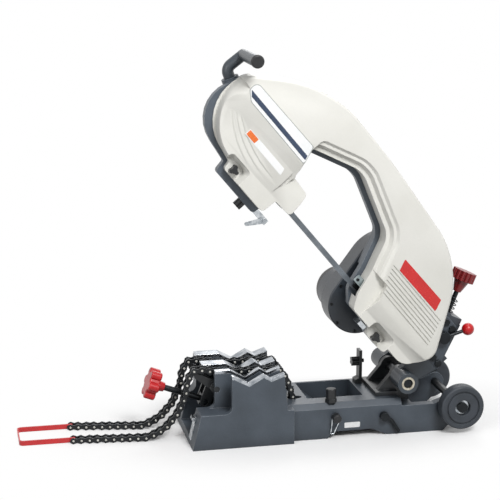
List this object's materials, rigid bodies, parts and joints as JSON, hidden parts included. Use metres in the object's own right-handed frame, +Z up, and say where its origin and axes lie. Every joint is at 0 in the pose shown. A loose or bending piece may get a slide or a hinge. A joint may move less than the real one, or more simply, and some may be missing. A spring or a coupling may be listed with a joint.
{
  "type": "pipe band saw",
  "caption": "Portable metal-cutting band saw: bow-shaped head with an off-white wheel cover, hinged on a grey bed that has a chain vise and transport wheels.",
  "frame": {"origin": "on the floor under the deepest point of the pipe jaws, half way across the bed", "axes": "+X from the vise to the transport wheels, +Z up, -Y to the near side with the cover"},
  "size_m": [0.93, 0.334, 0.7706],
  "materials": {
    "casting": "blue-grey enamel on cast aluminium",
    "jaw_steel": "hardened steel, worn bright on the crests",
    "zinc": "bright zinc plate",
    "chain_steel": "oiled black steel",
    "dark_steel": "machined steel, dark with oil",
    "blade_steel": "rolled spring steel",
    "wheel_alloy": "turned aluminium",
    "bush_brass": "plain bearing bronze",
    "red_paint": "red gloss paint on strip steel",
    "red_plastic": "moulded red plastic",
    "cover_white": "off-white moulded housing",
    "black_plastic": "black moulded plastic",
    "grip_rubber": "black rubber",
    "wheel_rubber": "dark solid rubber"
  },
  "bodies": {
    "base": {"bed": "casting", "outer_jaw": "jaw_steel", "inner_jaw": "jaw_steel", "middle_jaw": "jaw_steel", "rear_jaw": "jaw_steel", "jaw_screws": "zinc", "front_chain": "chain_steel", "rear_chain": "chain_steel", "chain_handle": "red_paint", "catch_plate": "zinc", "axle": "dark_steel", "wheel_washers": "zinc", "pivot_stand": "casting", "pivot_shaft": "dark_steel", "bumper": "grip_rubber", "bumper_nut": "zinc", "stop_plate": "zinc"},
    "near_wheel": {"near_wheel": "wheel_rubber"},
    "far_wheel": {"far_wheel": "wheel_rubber"},
    "lock_pin": {"lock_pin": "black_plastic"},
    "pin_bail": {"pin_bail": "zinc"},
    "side_lever": {"side_lever": "zinc"},
    "stop_knob": {"stop_knob": "black_plastic"},
    "hook_lever": {"hook_lever": "dark_steel"},
    "vise_nut": {"vise_nut": "dark_steel"},
    "vise_screw": {"vise_screw": "zinc", "vise_knob": "red_plastic"},
    "head": {"head_frame": "casting", "pivot_arm": "casting", "pivot_bushes": "bush_brass", "bracket_plate": "zinc", "bracket_bolts": "zinc", "feed_spring": "zinc", "handle": "grip_rubber", "handle_cap": "black_plastic", "stop_lug": "zinc", "latch_bar": "zinc", "blade": "blade_steel", "upper_guide": "zinc", "lower_guide": "zinc", "guide_pads": "dark_steel", "gear_case": "casting", "motor_housing": "casting", "motor_end_cap": "black_plastic", "cord_gland": "black_plastic"},
    "cover": {"cover": "cover_white"},
    "upper_cover_knob": {"upper_cover_knob": "black_plastic"},
    "lower_cover_knob": {"lower_cover_knob": "black_plastic"},
    "lock_lever": {"lock_lever": "zinc", "lever_ball": "red_plastic"},
    "feed_knob": {"feed_screw": "zinc", "feed_knob": "red_plastic"},
    "tension_knob": {"tension_knob": "black_plastic"},
    "tension_slide": {"tension_slide": "dark_steel"},
    "idler_wheel": {"idler_wheel": "wheel_alloy"},
    "drive": {"drive_wheel": "wheel_alloy", "drive_shaft": "dark_steel", "drive_gear": "dark_steel"},
    "armature": {"armature": "dark_steel"},
    "latch_hook": {"latch_hook": "zinc"}
  },
  "joints": [
    {"name": "head_swing", "type": "hinge", "parent": "base", "child": "head", "pos_m": [0.322, 0, 0.108], "axis": [0, -1, 0], "range_deg": [0, 53.6]},
    {"name": "near_wheel_roll", "type": "hinge", "parent": "base", "child": "near_wheel", "pos_m": [0.431, -0.1, 0.056], "axis": [0, 1, 0], "continuous": true},
    {"name": "far_wheel_roll", "type": "hinge", "parent": "base", "child": "far_wheel", "pos_m": [0.431, 0.1, 0.056], "axis": [0, 1, 0], "continuous": true},
    {"name": "lock_pin_pull", "type": "slide", "parent": "base", "child": "lock_pin", "axis": [0, -1, 0], "range_m": [0, 0.01], "stiffness_N_per_m": 300},
    {"name": "pin_bail_swing", "type": "hinge", "parent": "lock_pin", "child": "pin_bail", "pos_m": [0.1766, -0.0822, 0.046], "axis": [0, -1, 0], "range_deg": [-40, 40]},
    {"name": "side_lever_turn", "type": "hinge", "parent": "base", "child": "side_lever", "pos_m": [0.277, -0.086, 0.04], "axis": [0, -1, 0], "range_deg": [0, 75]},
    {"name": "stop_knob_turn", "type": "hinge", "parent": "base", "child": "stop_knob", "pos_m": [0.258, 0.045, 0.118], "axis": [-1, 0, 0], "range_deg": [0, 720]},
    {"name": "vise_knob_turn", "type": "hinge", "parent": "base", "child": "vise_screw", "pos_m": [-0.175, 0.012, 0.108], "axis": [0.9361, 0, -0.3518], "range_deg": [0, 1035]},
    {"name": "vise_nut_travel", "type": "slide", "parent": "base", "child": "vise_nut", "axis": [0.9361, 0, -0.3518], "range_m": [0, 0.006]},
    {"name": "hook_lever_tilt", "type": "hinge", "parent": "base", "child": "hook_lever", "pos_m": [-0.056, 0, 0.108], "axis": [0, -1, 0], "range_deg": [0, 8.1]},
    {"name": "cover_lift_off", "type": "slide", "parent": "head", "child": "cover", "axis": [0, -1, 0], "range_m": [0, 0.12]},
    {"name": "upper_cover_knob_turn", "type": "hinge", "parent": "cover", "child": "upper_cover_knob", "pos_m": [-0.02673, -0.074, 0.54771], "axis": [0, -1, 0], "range_deg": [0, 720]},
    {"name": "lower_cover_knob_turn", "type": "hinge", "parent": "cover", "child": "lower_cover_knob", "pos_m": [0.25689, -0.074, 0.20349], "axis": [0, -1, 0], "range_deg": [0, 720]},
    {"name": "lock_lever_turn", "type": "hinge", "parent": "head", "child": "lock_lever", "pos_m": [0.40733, -0.048, 0.18678], "axis": [0, -1, 0], "range_deg": [-60, 30]},
    {"name": "feed_knob_turn", "type": "hinge", "parent": "head", "child": "feed_knob", "pos_m": [0.43235, -0.004, 0.2254], "axis": [0.3843, 0, 0.9232], "range_deg": [0, 720]},
    {"name": "tension_knob_turn", "type": "hinge", "parent": "head", "child": "tension_knob", "pos_m": [-0.00421, -0.032, 0.47654], "axis": [0.766, 0, 0.6428], "range_deg": [0, 360]},
    {"name": "tension_slide_travel", "type": "slide", "parent": "head", "child": "tension_slide", "axis": [0.6428, 0, -0.766], "range_m": [0, 0.006]},
    {"name": "drive_spin", "type": "hinge", "parent": "head", "child": "drive", "pos_m": [0.31697, 0, 0.30612], "axis": [0, -1, 0], "continuous": true},
    {"name": "armature_spin", "type": "hinge", "parent": "head", "child": "armature", "pos_m": [0.24304, 0, 0.248], "axis": [0, -1, 0], "continuous": true},
    {"name": "idler_spin", "type": "hinge", "parent": "tension_slide", "child": "idler_wheel", "pos_m": [0.04186, -0.0675, 0.63399], "axis": [0, -1, 0], "continuous": true},
    {"name": "latch_hook_swing", "type": "hinge", "parent": "head", "child": "latch_hook", "pos_m": [0.0388, -0.042, 0.44083], "axis": [0, -1, 0], "range_deg": [-30, 30]}
  ],
  "couplings": [
    {"joint": "vise_nut_travel", "follows": "vise_knob_turn", "m_per_rad": 0.00031831},
    {"joint": "hook_lever_tilt", "follows": "vise_knob_turn", "ratio": 0.0077295},
    {"joint": "tension_knob_turn", "follows": "tension_slide_travel", "rad_per_m": 1047},
    {"joint": "armature_spin", "follows": "drive_spin", "ratio": -4},
    {"joint": "idler_spin", "follows": "drive_spin", "ratio": 1}
  ]
}
